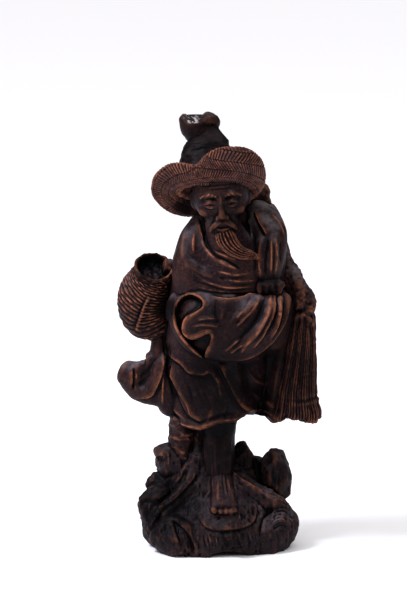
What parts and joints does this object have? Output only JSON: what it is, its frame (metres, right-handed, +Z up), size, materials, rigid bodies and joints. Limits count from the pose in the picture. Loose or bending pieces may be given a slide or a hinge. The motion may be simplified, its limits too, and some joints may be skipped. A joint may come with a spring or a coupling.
{
  "type": "clay figurine",
  "caption": "Standing clay figurine of an old fisherman with a wide woven hat, long beard, gathered robe, basket on the hip and hanging net, on a rocky base.",
  "frame": {"origin": "middle of the overall box on the ground, under the rock", "axes": "+X to the viewer's right, which is the figure's left, -Y out of the front, +Z up"},
  "size_m": [0.0932, 0.058, 0.2],
  "materials": {
    "clay": "unglazed fired clay with a dark brown patina, rubbed orange-brown on the edges"
  },
  "bodies": {
    "root": {"figurine": "clay"}
  },
  "joints": []
}
